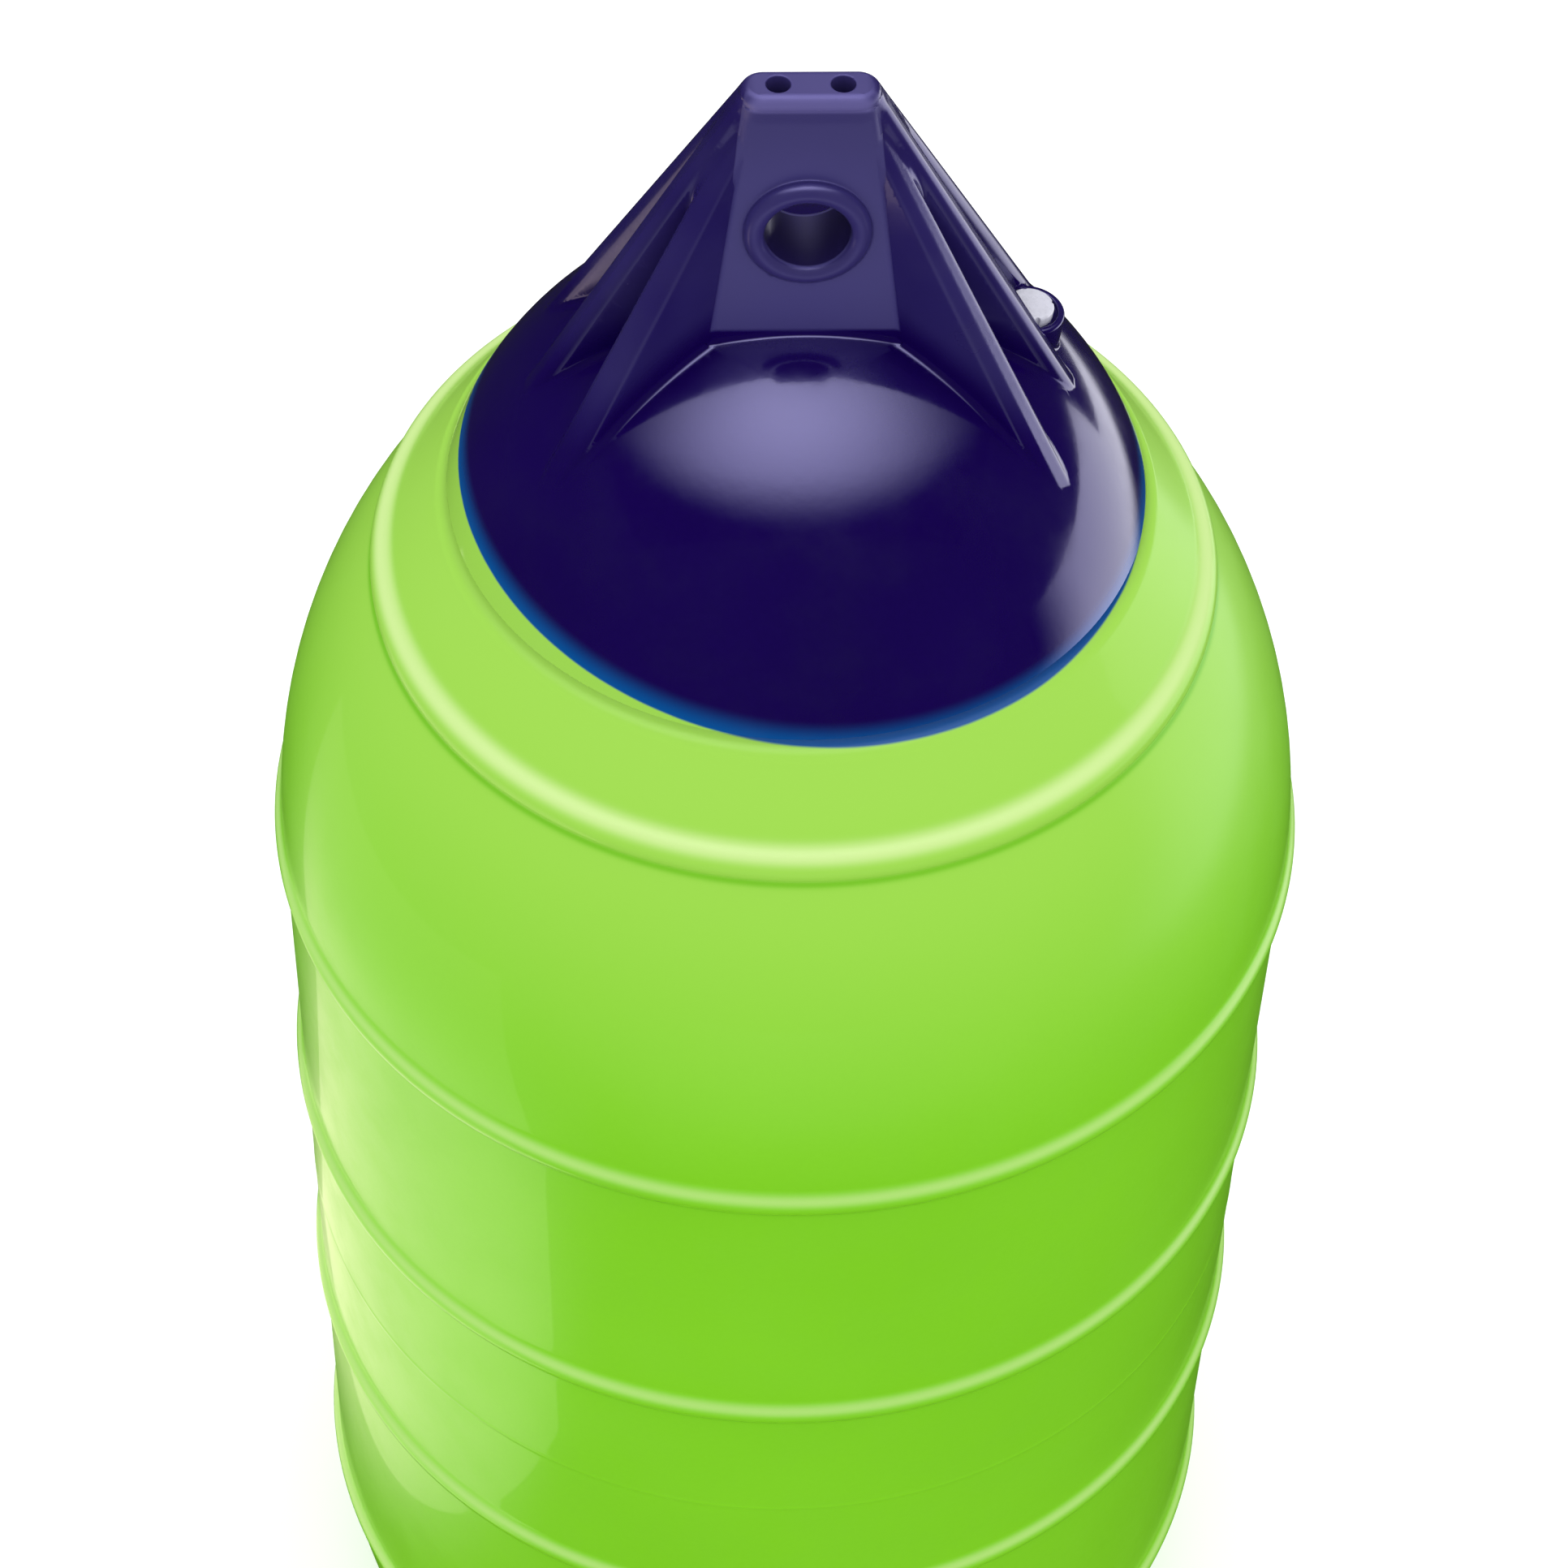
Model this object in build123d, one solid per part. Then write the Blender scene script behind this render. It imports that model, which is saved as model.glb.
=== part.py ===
from build123d import *
import os
from math import atan2, cos, radians, sin, sqrt, tan

# Inflatable mooring buoy: a ribbed vinyl skin, a moulded ropehold welded over its neck, an air valve.
# The origin is on the long axis, in the floating waterline. +Z points up, the eye runs along Y.

# Skin, mm
DRAFT = 125.0              # depth of the tail's lowest point under the waterline
BARREL_RADIUS = 200.0      # outside of the wall between the hoops
SKIN_WALL = 5.0
HOOP_PITCH = 144.0         # along the axis, the same from the tail to the neck
BARREL_HOOPS = 4           # hoops on the straight barrel; one more stands on the neck and one on the tail
SHOULDER_RADIUS = 252.0    # profile arc from the barrel to the neck hoop, mirrored at the tail
NECK_RISE = 37.5           # cone from the neck hoop up to the ropehold's seam
HOOP_HALF_WIDTH = 6.2      # where the bead meets the wall on its sharp side
HOOP_PROUD = 3.0
HOOP_BLEND = 8.0           # hollow radius on the bead's soft upper side

# Ropehold, mm
CAP_RISE = 88.2            # crown of the round cap above the seam
CAP_WALL = 7.0
FACE_FOOT_WIDTH = 67.0     # flat faces of the eye block, where they meet the cap
FACE_FOOT_DEPTH = 31.8
FACE_HEAD_WIDTH = 45.5     # and where they run under the head
FACE_HEAD_DEPTH = 13.6
HEAD_LENGTH = 48.0
HEAD_DEPTH = 16.5
HEAD_HEIGHT = 7.2
HEAD_CORNER = 8.0          # rounded corners of the head, seen from above
HEAD_ROUND = 3.4
HEAD_RISE = 100.2          # top of the head above the crown of the cap
EYE_RISE = 43.5            # centre of the rope eye above the crown of the cap
EYE_RADIUS = 15.0
COLLAR_ROUND = 3.9         # half width of the rounded collar around the eye
COLLAR_TRIM = 0.4          # of the collar's inner side, cut away by the eye
PIN_HOLE_SPACING = 22.0
PIN_HOLE_RADIUS = 4.2
PIN_HOLE_DEPTH = 14.0

# Fins, mm and degrees from the front face
FIN_HEAD_WIDTH = 9.0       # across the fin's edge under the head
FIN_TIP_WIDTH = 15.0       # and at its tip
FIN_HEAD_ROUND = 3.4
FIN_TIP_ROUND = 5.8
FIN_ROOT_DEPTH = 16.0      # how far a fin's plate reaches in under its edge at the head
FIN_ROOT_SINK = 3.0        # length of the edge inside the head
FIN_ROWS = (               # where an edge leaves the head: out, back, down from the top; tip: turn, in from the seam
    (20.0, -1.0, 8.5, 63.0, 25.0),
    (24.5, 0.0, 5.0, 90.0, 29.7),
    (24.0, 5.5, 5.5, 116.0, 27.0),
)

# Air valve, mm and degrees from the front face
VALVE_AZIMUTH = 102.9
VALVE_SETBACK = 44.0       # centre of the valve on the cap, in from the seam
VALVE_TILT = 6.0           # of the valve's axis, outward from the vertical
BOSS_RADIUS = 12.8
BOSS_RISE = 6.2
BOSS_ROOT = 24.0           # length of the boss under its rim, down into the sloping cap
SEAT_RADIUS = 10.2         # recess in the boss that the plug's head stands in
SEAT_DEPTH = 2.0
PLUG_HEAD_RADIUS = 8.5
PLUG_HEAD_HEIGHT = 4.5
PLUG_SHANK_RADIUS = 3.9
PLUG_SHANK_LENGTH = 19.0
PLUG_CLEARANCE = 0.15
PLUG_NOTCH_RADIUS = 0.9    # four notches around the head for a key
PLUG_NOTCHES = 4

# Heights and radii that follow
neck_lean = atan2(HOOP_PITCH, sqrt(SHOULDER_RADIUS**2 - HOOP_PITCH**2))
neck_radius = BARREL_RADIUS - SHOULDER_RADIUS * (1 - cos(neck_lean))
tail_radius = neck_radius / cos(neck_lean)
tail_hoop_z = tail_radius * (1 - sin(neck_lean)) - DRAFT
barrel_low_z = tail_hoop_z + HOOP_PITCH
barrel_high_z = barrel_low_z + (BARREL_HOOPS - 1) * HOOP_PITCH
neck_z = barrel_high_z + HOOP_PITCH
seam_z = neck_z + NECK_RISE
seam_radius = neck_radius - NECK_RISE * tan(neck_lean)
cap_radius = (seam_radius**2 + CAP_RISE**2) / (2 * CAP_RISE)
crown_z = seam_z + CAP_RISE
cap_z = crown_z - cap_radius
valve_radius = seam_radius - VALVE_SETBACK
head_top_z = crown_z + HEAD_RISE
head_foot_z = head_top_z - HEAD_HEIGHT
eye_z = crown_z + EYE_RISE
WELD = 1.0                 # overlap that joins two volumes of one moulding


def at(radius, z):
    """A point of the profile plane."""
    return (radius, 0, z)


def on_arc(centre_radius, centre_z, radius, angle):
    """A profile point at an angle from the horizontal."""
    return at(centre_radius + radius * cos(angle), centre_z + radius * sin(angle))


def skin_side(inset):
    """One wall of the skin's profile from the axis at the tail up to the seam, set in from the outside."""
    arc_foot = BARREL_RADIUS - SHOULDER_RADIUS
    tail_z = tail_radius - DRAFT
    arc = SHOULDER_RADIUS - inset
    cap = tail_radius - inset
    tail_low = on_arc(0, tail_z, cap, -radians(90))
    tail_mid = on_arc(0, tail_z, cap, -(radians(90) + neck_lean) / 2)
    tail_end = on_arc(0, tail_z, cap, -neck_lean)
    flare_mid = on_arc(arc_foot, barrel_low_z, arc, -neck_lean / 2)
    barrel_low = on_arc(arc_foot, barrel_low_z, arc, 0)
    barrel_high = on_arc(arc_foot, barrel_high_z, arc, 0)
    shoulder_mid = on_arc(arc_foot, barrel_high_z, arc, neck_lean / 2)
    neck = on_arc(arc_foot, barrel_high_z, arc, neck_lean)
    seam = at(seam_radius - inset / cos(neck_lean), seam_z)
    edges = [
        ThreePointArc(tail_low, tail_mid, tail_end),
        ThreePointArc(tail_end, flare_mid, barrel_low),
        Line(barrel_low, barrel_high),
        ThreePointArc(barrel_high, shoulder_mid, neck),
        Line(neck, seam),
    ]
    return edges, tail_low, seam


def hoop(radius, z, lean):
    """A moulded hoop: a round bead with a sharp lower side and a hollow blend above it."""
    bead = (HOOP_HALF_WIDTH**2 + HOOP_PROUD**2) / (2 * HOOP_PROUD)
    bead_centre = HOOP_PROUD - bead
    blend_end = sqrt((bead + HOOP_BLEND) ** 2 - (HOOP_BLEND - bead_centre) ** 2)
    share = bead / (bead + HOOP_BLEND)
    middle = 0.5 * (atan2(bead_centre - HOOP_BLEND, -blend_end) - radians(90))

    def local(along, out):
        return at(
            radius + out * cos(lean) - along * sin(lean),
            z + out * sin(lean) + along * cos(lean),
        )

    low = local(-HOOP_HALF_WIDTH, 0)
    meet = local(blend_end * share, bead_centre + (HOOP_BLEND - bead_centre) * share)
    high = local(blend_end, 0)
    blend_mid = local(blend_end + HOOP_BLEND * cos(middle), HOOP_BLEND + HOOP_BLEND * sin(middle))
    low_root = local(-HOOP_HALF_WIDTH, -WELD - SKIN_WALL / 2)
    high_root = local(blend_end, -WELD - SKIN_WALL / 2)
    section = make_face([
        ThreePointArc(low, local(0, HOOP_PROUD), meet),
        ThreePointArc(meet, blend_mid, high),
        Line(high, high_root),
        Line(high_root, low_root),
        Line(low_root, low),
    ])
    return revolve(section, axis=Axis.Z)


def make_skin():
    outer, outer_tail, outer_seam = skin_side(0)
    inner, inner_tail, inner_seam = skin_side(SKIN_WALL)
    profile = make_face(outer + inner + [Line(outer_tail, inner_tail), Line(outer_seam, inner_seam)])
    skin = revolve(profile, axis=Axis.Z)
    for step in range(BARREL_HOOPS):
        skin += hoop(BARREL_RADIUS, barrel_low_z + step * HOOP_PITCH, 0)
    skin += hoop(neck_radius, neck_z, neck_lean)
    skin += hoop(neck_radius, tail_hoop_z, -neck_lean)
    return skin


def on_cap(radius, azimuth):
    """A point on the outside of the cap."""
    turn = radians(azimuth)
    return Vector(
        radius * sin(turn), -radius * cos(turn), cap_z + sqrt(cap_radius**2 - radius**2)
    )


def eye_block():
    """The drafted block between the two flat faces, run on down through the cap."""
    rise = head_foot_z - crown_z
    sink = 2 * CAP_WALL
    width_draft = (FACE_FOOT_WIDTH - FACE_HEAD_WIDTH) / rise
    depth_draft = (FACE_FOOT_DEPTH - FACE_HEAD_DEPTH) / rise
    foot = Plane.XY.offset(crown_z - sink) * Rectangle(
        FACE_FOOT_WIDTH + sink * width_draft, FACE_FOOT_DEPTH + sink * depth_draft
    )
    top = Plane.XY.offset(head_foot_z + WELD) * Rectangle(
        FACE_HEAD_WIDTH - WELD * width_draft, FACE_HEAD_DEPTH - WELD * depth_draft
    )
    return loft([foot, top], ruled=True)


def head():
    """The rounded bar across the top of the eye block."""
    bar = Pos(0, 0, head_foot_z + HEAD_HEIGHT / 2) * Box(HEAD_LENGTH, HEAD_DEPTH, HEAD_HEIGHT)
    bar = fillet(bar.edges().filter_by(Axis.Z), HEAD_CORNER)
    return fillet(bar.edges().filter_by(Plane.XY), HEAD_ROUND)


def collar(side):
    """The rounded rim of the eye on one face, square to the eye."""
    half_depth = (FACE_FOOT_DEPTH - (FACE_FOOT_DEPTH - FACE_HEAD_DEPTH) * EYE_RISE / (head_foot_z - crown_z)) / 2
    ring = Torus(EYE_RADIUS + COLLAR_ROUND - COLLAR_TRIM, COLLAR_ROUND)
    return Pos(0, side * half_depth, eye_z) * Rot(90, 0, 0) * ring


def fin_section(plane, width, depth, corner):
    """A fin's cross-section: straight sides, with the two corners of the outer edge rounded."""
    slab = Pos(0, -depth / 2) * Rectangle(width, depth)
    edge = slab.vertices().group_by(Axis.Y)[-1]
    return plane * fillet(edge, corner)


def fin(root_x, root_y, root_drop, azimuth, setback):
    """A fin on the +X side: its straight edge falls from the head to the cap and widens on the way."""
    leaves_head = Vector(root_x, root_y, head_top_z - root_drop)
    tip_radius = seam_radius - setback
    tip = on_cap(tip_radius, azimuth)
    run = (tip - leaves_head).normalized()
    across = Vector(0, 0, 1).cross(run).normalized()
    start = leaves_head - run * FIN_ROOT_SINK
    past = tip + run * FIN_TIP_WIDTH
    top = fin_section(
        Plane(origin=start, x_dir=across, z_dir=run), FIN_HEAD_WIDTH, FIN_ROOT_DEPTH, FIN_HEAD_ROUND
    )
    foot = fin_section(
        Plane(origin=past, x_dir=across, z_dir=run), FIN_TIP_WIDTH, tip_radius, FIN_TIP_ROUND
    )
    return loft([top, foot], ruled=True)


def valve_plane():
    """Plane through the valve's place on the cap, with its normal along the valve's axis and X outward."""
    turn, tilt = radians(VALVE_AZIMUTH), radians(VALVE_TILT)
    outward = Vector(sin(turn), -cos(turn), 0)
    upward = Vector(0, 0, 1)
    axis = outward * sin(tilt) + upward * cos(tilt)
    return Plane(
        origin=on_cap(valve_radius, VALVE_AZIMUTH),
        x_dir=outward * cos(tilt) - upward * sin(tilt),
        z_dir=axis,
    )


def make_ropehold():
    cap = Pos(0, 0, cap_z) * Sphere(cap_radius)
    hold = cap + eye_block() + head()
    for side in (-1, 1):
        hold += collar(side)
    # front, side and rear fin on each side
    for row in FIN_ROWS:
        plate = fin(*row)
        hold += plate
        hold += mirror(plate, about=Plane.YZ)
    valve = valve_plane()
    hold += valve * Pos(0, 0, BOSS_RISE - BOSS_ROOT / 2) * Cylinder(BOSS_RADIUS, BOSS_ROOT)

    # hollow underside, open at the seam
    hold -= Pos(0, 0, cap_z) * Sphere(cap_radius - CAP_WALL)
    hold = split(hold, bisect_by=Plane.XY.offset(seam_z), keep=Keep.TOP)

    hold -= Pos(0, 0, eye_z) * Rot(90, 0, 0) * Cylinder(EYE_RADIUS, FACE_FOOT_DEPTH * 2)
    for side in (-1, 1):
        hole = Cylinder(PIN_HOLE_RADIUS, 2 * PIN_HOLE_DEPTH)
        hold -= Pos(side * PIN_HOLE_SPACING / 2, 0, head_top_z) * hole
    # the seat is open above, where the side fin's foot stands near
    seat_top = 2 * PLUG_HEAD_HEIGHT
    seat = Pos(0, 0, (seat_top - SEAT_DEPTH) / 2) * Cylinder(SEAT_RADIUS, seat_top + SEAT_DEPTH)
    hold -= valve * Pos(0, 0, BOSS_RISE) * seat
    hold -= valve * Cylinder(PLUG_SHANK_RADIUS + PLUG_CLEARANCE, 2 * BOSS_ROOT)
    return hold


def make_valve_plug():
    valve = valve_plane()
    seat = BOSS_RISE - SEAT_DEPTH
    plug = Pos(0, 0, seat + PLUG_HEAD_HEIGHT / 2) * Cylinder(PLUG_HEAD_RADIUS, PLUG_HEAD_HEIGHT)
    plug += Pos(0, 0, seat - PLUG_SHANK_LENGTH / 2) * Cylinder(PLUG_SHANK_RADIUS, PLUG_SHANK_LENGTH)
    notch = Pos(PLUG_HEAD_RADIUS, 0, seat + PLUG_HEAD_HEIGHT / 2) * Cylinder(PLUG_NOTCH_RADIUS, 2 * PLUG_HEAD_HEIGHT)
    for step in range(PLUG_NOTCHES):
        plug -= Rot(0, 0, 360 / PLUG_NOTCHES * step) * notch
    return valve * plug


os.makedirs("parts", exist_ok=True)
export_step(make_skin(), "parts/skin.step")
export_step(make_ropehold(), "parts/ropehold.step")
export_step(make_valve_plug(), "parts/valve_plug.step")
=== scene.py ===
import math

import bmesh
import bpy
import numpy as np
import openvdb
from mathutils import Matrix, Vector


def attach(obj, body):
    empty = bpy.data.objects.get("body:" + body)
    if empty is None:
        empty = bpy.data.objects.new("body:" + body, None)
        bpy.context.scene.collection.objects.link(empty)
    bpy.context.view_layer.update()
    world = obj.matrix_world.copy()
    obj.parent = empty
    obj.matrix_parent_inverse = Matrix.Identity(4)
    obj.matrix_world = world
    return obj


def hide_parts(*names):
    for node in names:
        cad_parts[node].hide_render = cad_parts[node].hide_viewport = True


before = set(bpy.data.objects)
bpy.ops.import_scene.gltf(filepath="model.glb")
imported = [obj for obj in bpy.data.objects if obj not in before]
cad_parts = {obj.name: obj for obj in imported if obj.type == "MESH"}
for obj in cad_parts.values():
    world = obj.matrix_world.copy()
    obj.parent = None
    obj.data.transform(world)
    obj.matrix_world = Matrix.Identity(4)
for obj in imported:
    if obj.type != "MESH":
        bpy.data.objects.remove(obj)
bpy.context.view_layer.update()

# Inflatable mooring buoy. Sizes are in millimetres until a mesh is made, as in the part's source.
MM = 0.001

# Skin
DRAFT = 125.0
BARREL_RADIUS = 200.0
SKIN_WALL = 5.0
HOOP_PITCH = 144.0
BARREL_HOOPS = 4
SHOULDER_RADIUS = 252.0
NECK_RISE = 37.5
HOOP_HALF_WIDTH = 6.2
HOOP_PROUD = 3.0
HOOP_BLEND = 8.0
HOOP_CREASE = 0.3          # softness of the crease under a hoop
PARTING_RISE = 0.16        # raised line where the two halves of the mould met
PARTING_WIDTH = 0.9
LATHE_SEGMENTS = 256

# Ropehold
CAP_RISE = 88.2
FACE_FOOT_WIDTH = 67.0
FACE_FOOT_DEPTH = 31.8
FACE_HEAD_WIDTH = 45.5
FACE_HEAD_DEPTH = 13.6
HEAD_LENGTH = 48.0
HEAD_DEPTH = 16.5
HEAD_HEIGHT = 7.2
HEAD_CORNER = 8.0
HEAD_ROUND = 3.4
HEAD_RISE = 100.2
EYE_RISE = 43.5
EYE_RADIUS = 15.0
COLLAR_ROUND = 3.9
COLLAR_TRIM = 0.4
PIN_HOLE_SPACING = 22.0
PIN_HOLE_RADIUS = 4.2
PIN_HOLE_DEPTH = 14.0
FIN_HEAD_WIDTH = 9.0
FIN_TIP_WIDTH = 15.0
FIN_HEAD_ROUND = 3.4
FIN_TIP_ROUND = 5.8
FIN_ROOT_DEPTH = 16.0
FIN_ROOT_SINK = 3.0
# Where a fin's edge leaves the head (out, back, down from the top) and its tip (turn, in from the seam)
FIN_ROWS = (
    (20.0, -1.0, 8.5, 63.0, 25.0),
    (24.5, 0.0, 5.0, 90.0, 29.7),
    (24.0, 5.5, 5.5, 116.0, 27.0),
)
CAP_LAP = 3.0              # the cap runs on under the skin's edge, so that no gap shows at the seam

# Fillets of the moulding, left out of the solids
FACE_FILLET = 2.6
FIN_FILLET = 3.0
HEAD_FILLET = 7.0
COLLAR_FILLET = 0.9
BOSS_FILLET = 1.6
HOLE_RIM = 0.5
NOTCH_RIM = 0.25
BLOCK_FOOT_ROUND = 0.5     # the block's upright corners, softer towards the head
BLOCK_HEAD_ROUND = 3.4

# Air valve
VALVE_AZIMUTH = 102.9
VALVE_SETBACK = 44.0
VALVE_TILT = 6.0
BOSS_RADIUS = 12.8
BOSS_RISE = 6.2
BOSS_ROUND = 1.4
SEAT_RADIUS = 10.2
SEAT_DEPTH = 2.0
PLUG_HEAD_RADIUS = 8.5
PLUG_HEAD_HEIGHT = 4.5
PLUG_SHANK_RADIUS = 3.9
PLUG_SHANK_LENGTH = 19.0
PLUG_NOTCH_RADIUS = 0.9
PLUG_ROUND = 1.2

# Heights and radii that follow
neck_lean = math.asin(HOOP_PITCH / SHOULDER_RADIUS)
neck_radius = BARREL_RADIUS - SHOULDER_RADIUS * (1 - math.cos(neck_lean))
tail_radius = neck_radius / math.cos(neck_lean)
tail_hoop_z = tail_radius * (1 - math.sin(neck_lean)) - DRAFT
barrel_low_z = tail_hoop_z + HOOP_PITCH
barrel_high_z = barrel_low_z + (BARREL_HOOPS - 1) * HOOP_PITCH
neck_z = barrel_high_z + HOOP_PITCH
seam_z = neck_z + NECK_RISE
seam_radius = neck_radius - NECK_RISE * math.tan(neck_lean)
cap_radius = (seam_radius**2 + CAP_RISE**2) / (2 * CAP_RISE)
crown_z = seam_z + CAP_RISE
cap_z = crown_z - cap_radius
head_top_z = crown_z + HEAD_RISE
head_foot_z = head_top_z - HEAD_HEIGHT
eye_z = crown_z + EYE_RISE
face_rise = head_foot_z - crown_z


class Wire:
    """A node socket that works in sums: each operator adds a Math node to the socket's tree."""

    def __init__(self, tree, socket=None):
        self.tree = tree
        self.socket = socket

    def node(self, kind, settings=None, values=None, out=0):
        """Adds a node, with its settings first and then the values or links of its sockets."""
        made = self.tree.nodes.new(kind)
        for name, setting in (settings or {}).items():
            if name == "stops":
                ramp = made.color_ramp.elements
                while len(ramp) < len(setting):
                    ramp.new(0.5)
                for stop, (place, colour) in zip(ramp, setting):
                    stop.position = place
                    stop.color = colour
            else:
                setattr(made, name, setting)
        for key, value in (values or {}).items():
            if isinstance(value, Wire):
                self.tree.links.new(value.socket, made.inputs[key])
            else:
                made.inputs[key].default_value = value
        return Wire(self.tree, made.outputs[out] if made.outputs else None)

    def math(self, operation, first, second):
        return self.node("ShaderNodeMath", {"operation": operation}, {0: first, 1: second})

    def __add__(self, other):
        return self.math("ADD", self, other)

    def __radd__(self, other):
        return self.math("ADD", other, self)

    def __sub__(self, other):
        return self.math("SUBTRACT", self, other)

    def __rsub__(self, other):
        return self.math("SUBTRACT", other, self)

    def __mul__(self, other):
        return self.math("MULTIPLY", self, other)

    def __rmul__(self, other):
        return self.math("MULTIPLY", other, self)

    def __truediv__(self, other):
        return self.math("DIVIDE", self, other)

    def __abs__(self):
        return self.math("ABSOLUTE", self, 0)

    def highest(self, other):
        return self.math("MAXIMUM", self, other)


def axes(wire, place):
    """The three parts of a place."""
    split = wire.node("ShaderNodeSeparateXYZ", None, {"Vector": place})
    outputs = split.socket.node.outputs
    return split, Wire(wire.tree, outputs["Y"]), Wire(wire.tree, outputs["Z"])


def length(wire, first, *others):
    """The length of a line whose parts along the axes are given."""
    square = first * first
    for part in others:
        square = square + part * part
    return wire.math("SQRT", square, 0)


def link_object(name, mesh):
    made = bpy.data.objects.new(name, mesh)
    bpy.context.scene.collection.objects.link(made)
    return made


# Materials

def noise(wire, coords, scale, detail=2.0, roughness=0.5):
    values = {"Vector": coords, "Scale": scale, "Detail": detail, "Roughness": roughness}
    return wire.node("ShaderNodeTexNoise", None, values)


def ease(wire, value, low, high, low_value=0.0, high_value=1.0):
    """A soft step of a value from low to high."""
    values = {"Value": value, "From Min": low, "From Max": high, "To Min": low_value, "To Max": high_value}
    return wire.node("ShaderNodeMapRange", {"interpolation_type": "SMOOTHSTEP"}, values)


def bell(wire, value, middle, width):
    """A smooth hump of height 1 round a middle."""
    off = (value - middle) / width
    return wire.math("POWER", math.exp(-1), off * off)


def mix_colour(wire, share, first, second):
    return wire.node("ShaderNodeMix", {"data_type": "RGBA"}, {0: share, 6: first, 7: second}, out=2)


GREEN = (0.212, 0.625, 0.014, 1)
GREEN_DEEP = (0.195, 0.590, 0.011, 1)
# painted light: the upward-facing cone and shoulder are painted paler, as if lit from above
LIT_NECK_GREEN = (0.330, 0.650, 0.078, 1)
# painted highlight along each hoop's crest
CREST_HIGHLIGHT_GREEN = (0.60, 0.79, 0.32, 1)
# painted shade in the crease under each hoop
CREASE_SHADE_GREEN = (0.15, 0.50, 0.008, 1)
NAVY = (0.0075, 0.0006, 0.074, 1)
NAVY_DEEP = (0.0055, 0.0002, 0.058, 1)
# painted sheen: the satin parts of the ropehold are painted a paler navy
SHEEN_NAVY = (0.049, 0.040, 0.184, 1)
SATIN_SHADE = (0.034, 0.026, 0.142, 1)
# painted sheen on the head, with a painted highlight on its front and back rounding
HEAD_SHEEN_NAVY = (0.040, 0.030, 0.160, 1)
HEAD_FRONT_HIGHLIGHT = (0.100, 0.085, 0.270, 1)
EDGE_BLUE = (0.0, 0.075, 0.29, 1)
PLUG_WHITE = (0.66, 0.66, 0.76, 1)
PLUG_GRIME = (0.57, 0.57, 0.66, 1)

# Painted shade in the crease under each hoop and a painted highlight along its crest, in metres above a
# hoop's middle
CREASE_PLACE = -0.006
CREASE_WIDTH = 0.0013
CREST_PLACE = 0.0042
CREST_WIDTH = 0.0022

# The navy dip's edge over the seam, in metres: its mean rise, waver, tilt, twist and sag to front and back
DIP_RISE = 0.0033
DIP_WAVER = 0.0012
DIP_TILT = (-0.036, 0.020)
DIP_TWIST = 0.18
DIP_SAG = 0.178

# The satin finish and the sheen painted into its colour, in metres: off the faces' plane, along the head and
# by height over the crown
SATIN_BEHIND = (-0.0009, -0.0003)
SATIN_BEFORE = (0.0003, 0.0012)
SATIN_SPREAD = (0.062, 0.078)
SATIN_ENDS = (0.018, 0.025)
SATIN_SIDES = (0.0335, 0.0345)
SATIN_DRAFT = 0.115
SATIN_FOOT = (0.0, 0.002)
SATIN_FINS = (0.003, 0.018)


def dip_line(wire, coords):
    """Height of a point above the uneven line where the navy vinyl ends on the green."""
    x, y, z = axes(wire, coords)
    waver = noise(wire, coords, 14.0, 3.0) - 0.5
    tilt = x * DIP_TILT[0] + y * DIP_TILT[1]
    bow = x * y * DIP_TWIST + (x * x - y * y) * DIP_SAG
    return z - (seam_z * MM + DIP_RISE) - tilt - bow - waver * DIP_WAVER


def satin_and_sheen(wire, coords):
    """1 where the vinyl is satin and its colour takes a painted sheen, on the flat faces, head and fins, and
    1 in the eye.
    """
    x, y, z = axes(wire, coords)
    up = z - crown_z * MM
    draft = (FACE_FOOT_DEPTH - FACE_HEAD_DEPTH) / 2 / face_rise
    spread = ease(wire, up, *SATIN_SPREAD, 1.0, 6.0)
    off_face = (abs(y) - FACE_FOOT_DEPTH / 2 * MM + up * draft) / spread
    not_behind = ease(wire, off_face, *SATIN_BEHIND)
    on_face = not_behind - ease(wire, off_face, *SATIN_BEFORE)
    across = abs(x)
    off_ends = 1 - ease(wire, across, *SATIN_ENDS) * 0.75
    on_head = ease(wire, z, (head_foot_z - 16) * MM, head_foot_z * MM) * off_ends
    between_fins = 1 - ease(wire, across + up * SATIN_DRAFT, *SATIN_SIDES)
    clear_of_cap = ease(wire, up, *SATIN_FOOT)
    plain = (on_face * between_fins * clear_of_cap).highest(on_head)

    ring = length(wire, x, z - eye_z * MM)
    collar_edge = (EYE_RADIUS + 2 * COLLAR_ROUND) * MM
    on_collar = not_behind * (1 - ease(wire, ring, collar_edge, collar_edge + MM)) * 0.6
    in_eye = 1 - ease(wire, ring, EYE_RADIUS * MM, (EYE_RADIUS + 1) * MM)

    over_cap = length(wire, x, y, z - cap_z * MM) - cap_radius * MM
    uneven = ease(wire, noise(wire, coords, 22.0, 2.0), 0.3, 0.7, 0.18, 0.34)
    over_seam = ease(wire, z, (seam_z + 8) * MM, (seam_z + 16) * MM)
    on_fins = ease(wire, over_cap, *SATIN_FINS) * over_seam * (1 - in_eye * 0.9) * uneven
    return plain.highest(on_collar).highest(on_fins), in_eye


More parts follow.
